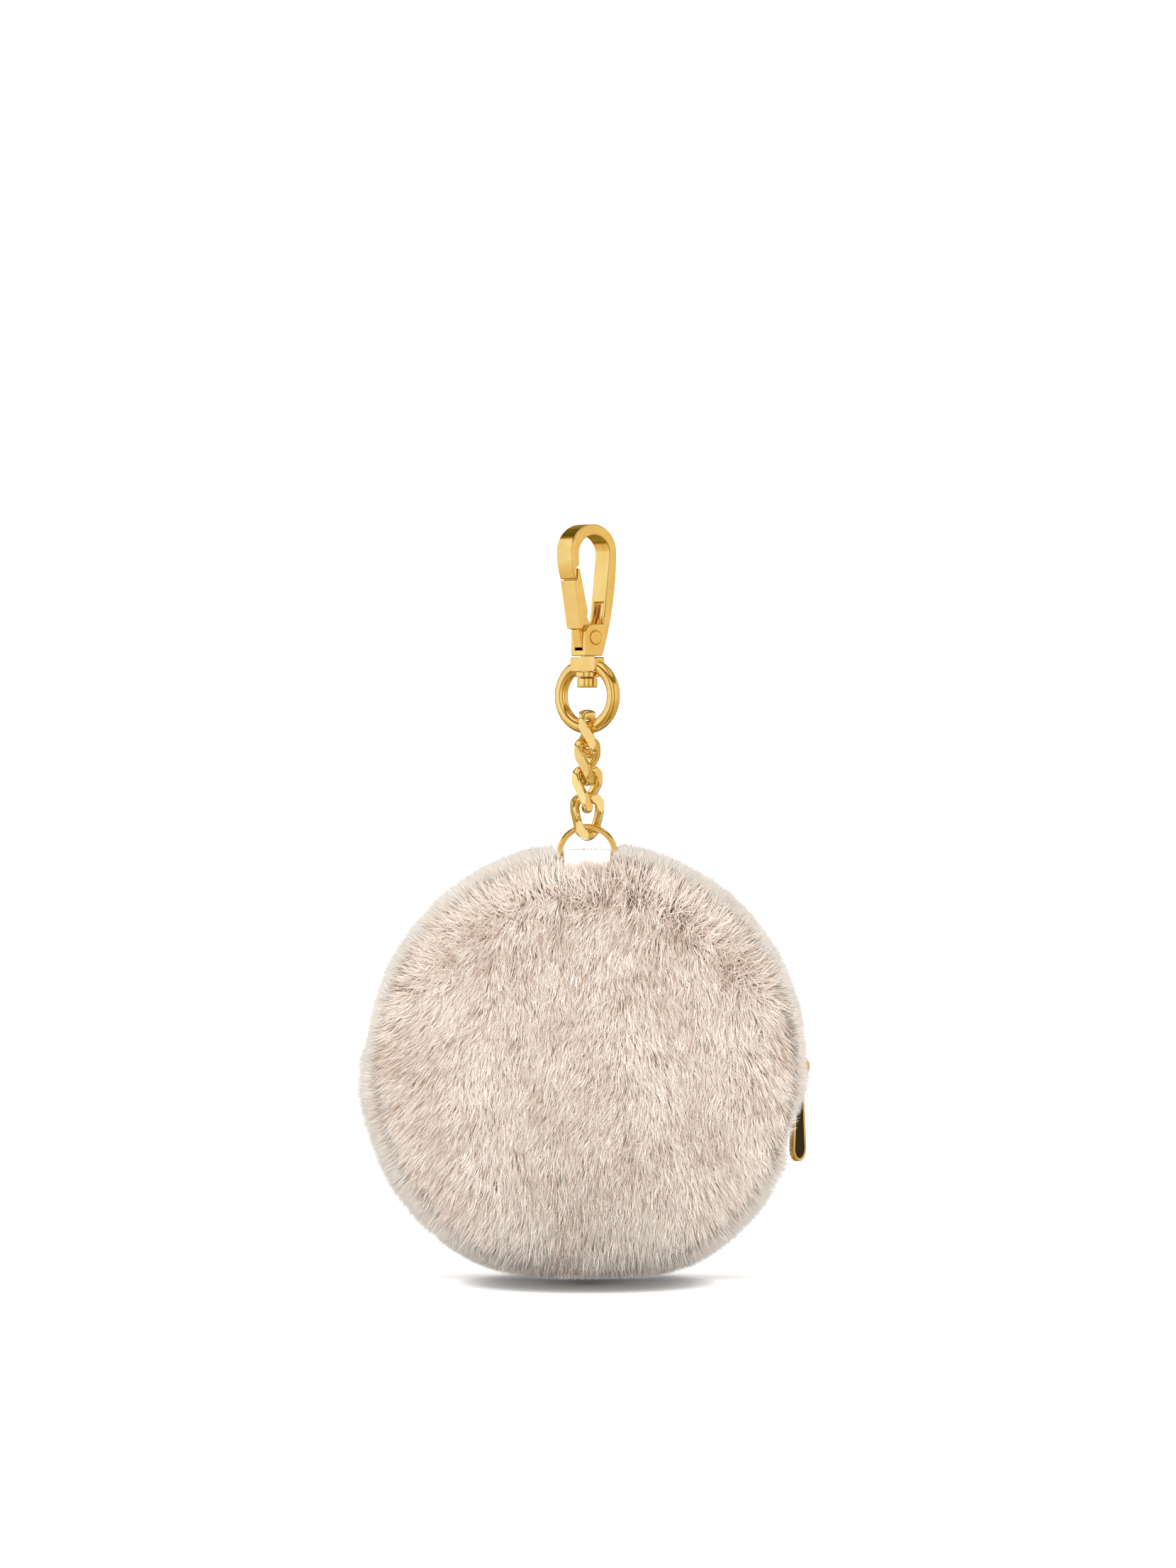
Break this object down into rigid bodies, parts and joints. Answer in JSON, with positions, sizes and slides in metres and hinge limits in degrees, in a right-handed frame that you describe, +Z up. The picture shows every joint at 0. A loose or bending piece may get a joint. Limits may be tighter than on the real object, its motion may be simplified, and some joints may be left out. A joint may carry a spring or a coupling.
{
  "type": "plush keychain",
  "caption": "Round faux-fur zip pouch hanging by a leather tab, D-ring and curb chain from a swivel snap hook.",
  "frame": {"origin": "centre of the round crown of the snap hook's eye, on the line that the keychain hangs from", "axes": "+Z up along the hanging line, +X to the right of the pouch's front face, +Y from the front panel towards the back panel"},
  "size_m": [0.0943, 0.037, 0.162],
  "materials": {
    "gold_cast": "polished yellow-gold plating",
    "gold_wire": "polished yellow-gold plated wire with diamond-cut flats",
    "zip_metal": "satin gold-coloured zip metal",
    "copper_spring": "coppery spring wire",
    "white_leather": "smooth white leather, fine grain",
    "white_thread": "white sewing thread",
    "plush_fur": "dense beige faux fur with darker roots",
    "wadding": "soft white wadding",
    "satin_lining": "beige satin lining",
    "zip_tape": "woven beige zip tape",
    "dark_enamel": "dark glossy enamel"
  },
  "bodies": {
    "hook": {"hook_frame": "gold_cast", "gate_pin": "gold_cast", "gate_spring": "copper_spring", "swivel_rivet": "gold_cast", "swivel_washer": "gold_cast"},
    "gate": {"gate_lever": "gold_cast"},
    "swivel": {"swivel_ring": "gold_cast"},
    "link_1": {"chain_link_1": "gold_wire"},
    "link_2": {"chain_link_2": "gold_wire"},
    "link_3": {"chain_link_3": "gold_wire"},
    "link_4": {"chain_link_4": "gold_wire"},
    "dee": {"d_ring": "gold_wire"},
    "pouch": {"leather_tab": "white_leather", "tab_stitches": "white_thread", "fur_front": "plush_fur", "padding_front": "wadding", "lining_front": "satin_lining", "fur_rim_front": "plush_fur", "fur_gusset": "plush_fur", "lining_gusset": "satin_lining", "fur_back_lower": "plush_fur", "padding_back_lower": "wadding", "lining_back_lower": "satin_lining", "zip_tape_front": "zip_tape", "zip_teeth_front": "zip_metal", "zip_tape_ends": "zip_tape", "zip_teeth_ends": "zip_metal", "zip_stops": "zip_metal"},
    "flap": {"fur_back_upper": "plush_fur", "padding_back_upper": "wadding", "lining_back_upper": "satin_lining", "fur_rim_back": "plush_fur", "zip_tape_back": "zip_tape", "zip_teeth_back": "zip_metal"},
    "slider": {"slider_body": "gold_cast", "slider_bail": "gold_cast"},
    "puller": {"zip_puller": "gold_cast", "puller_inlay": "dark_enamel"}
  },
  "joints": [
    {"name": "gate_hinge", "type": "hinge", "parent": "hook", "child": "gate", "pos_m": [0.00025, 0.00017, -0.01795], "axis": [-0.5736, 0.8192, 0], "range_deg": [0, 25], "stiffness_Nm_per_rad": 0.02, "springref_deg": -28.65, "deforming": ["gate_spring"]},
    {"name": "swivel_spin", "type": "hinge", "parent": "hook", "child": "swivel", "pos_m": [0, 0, -0.0304], "axis": [0, 0, 1], "continuous": true},
    {"name": "link_1_swing", "type": "hinge", "parent": "swivel", "child": "link_1", "pos_m": [0, 0, -0.03715], "axis": [0.829, -0.5592, 0], "range_deg": [-30, 30]},
    {"name": "link_2_swing", "type": "hinge", "parent": "link_1", "child": "link_2", "pos_m": [0, 0, -0.04265], "axis": [-0.766, 0.6428, 0], "range_deg": [-25, 25]},
    {"name": "link_3_swing", "type": "hinge", "parent": "link_2", "child": "link_3", "pos_m": [0, 0, -0.04635], "axis": [1, 0, 0], "range_deg": [-25, 25]},
    {"name": "link_4_swing", "type": "hinge", "parent": "link_3", "child": "link_4", "pos_m": [0, 0, -0.05445], "axis": [0, 1, 0], "range_deg": [-25, 25]},
    {"name": "dee_swing", "type": "hinge", "parent": "link_4", "child": "dee", "pos_m": [0, 0, -0.0585], "axis": [1, 0, 0], "range_deg": [-30, 30]},
    {"name": "tab_swing", "type": "hinge", "parent": "dee", "child": "pouch", "pos_m": [0, 0, -0.06535], "axis": [1, 0, 0], "range_deg": [-35, 35]},
    {"name": "slider_travel", "type": "hinge", "parent": "pouch", "child": "slider", "pos_m": [0, 0.01, -0.10945], "axis": [0, -1, 0], "range_deg": [0, 168]},
    {"name": "puller_swing", "type": "hinge", "parent": "slider", "child": "puller", "pos_m": [0.04539, 0.01, -0.11024], "axis": [0, -1, 0], "range_deg": [0, 150]},
    {"name": "mouth_fold", "type": "hinge", "parent": "pouch", "child": "flap", "pos_m": [0, 0.0287, -0.10295], "axis": [-1, 0, 0], "range_deg": [0, 32]}
  ]
}
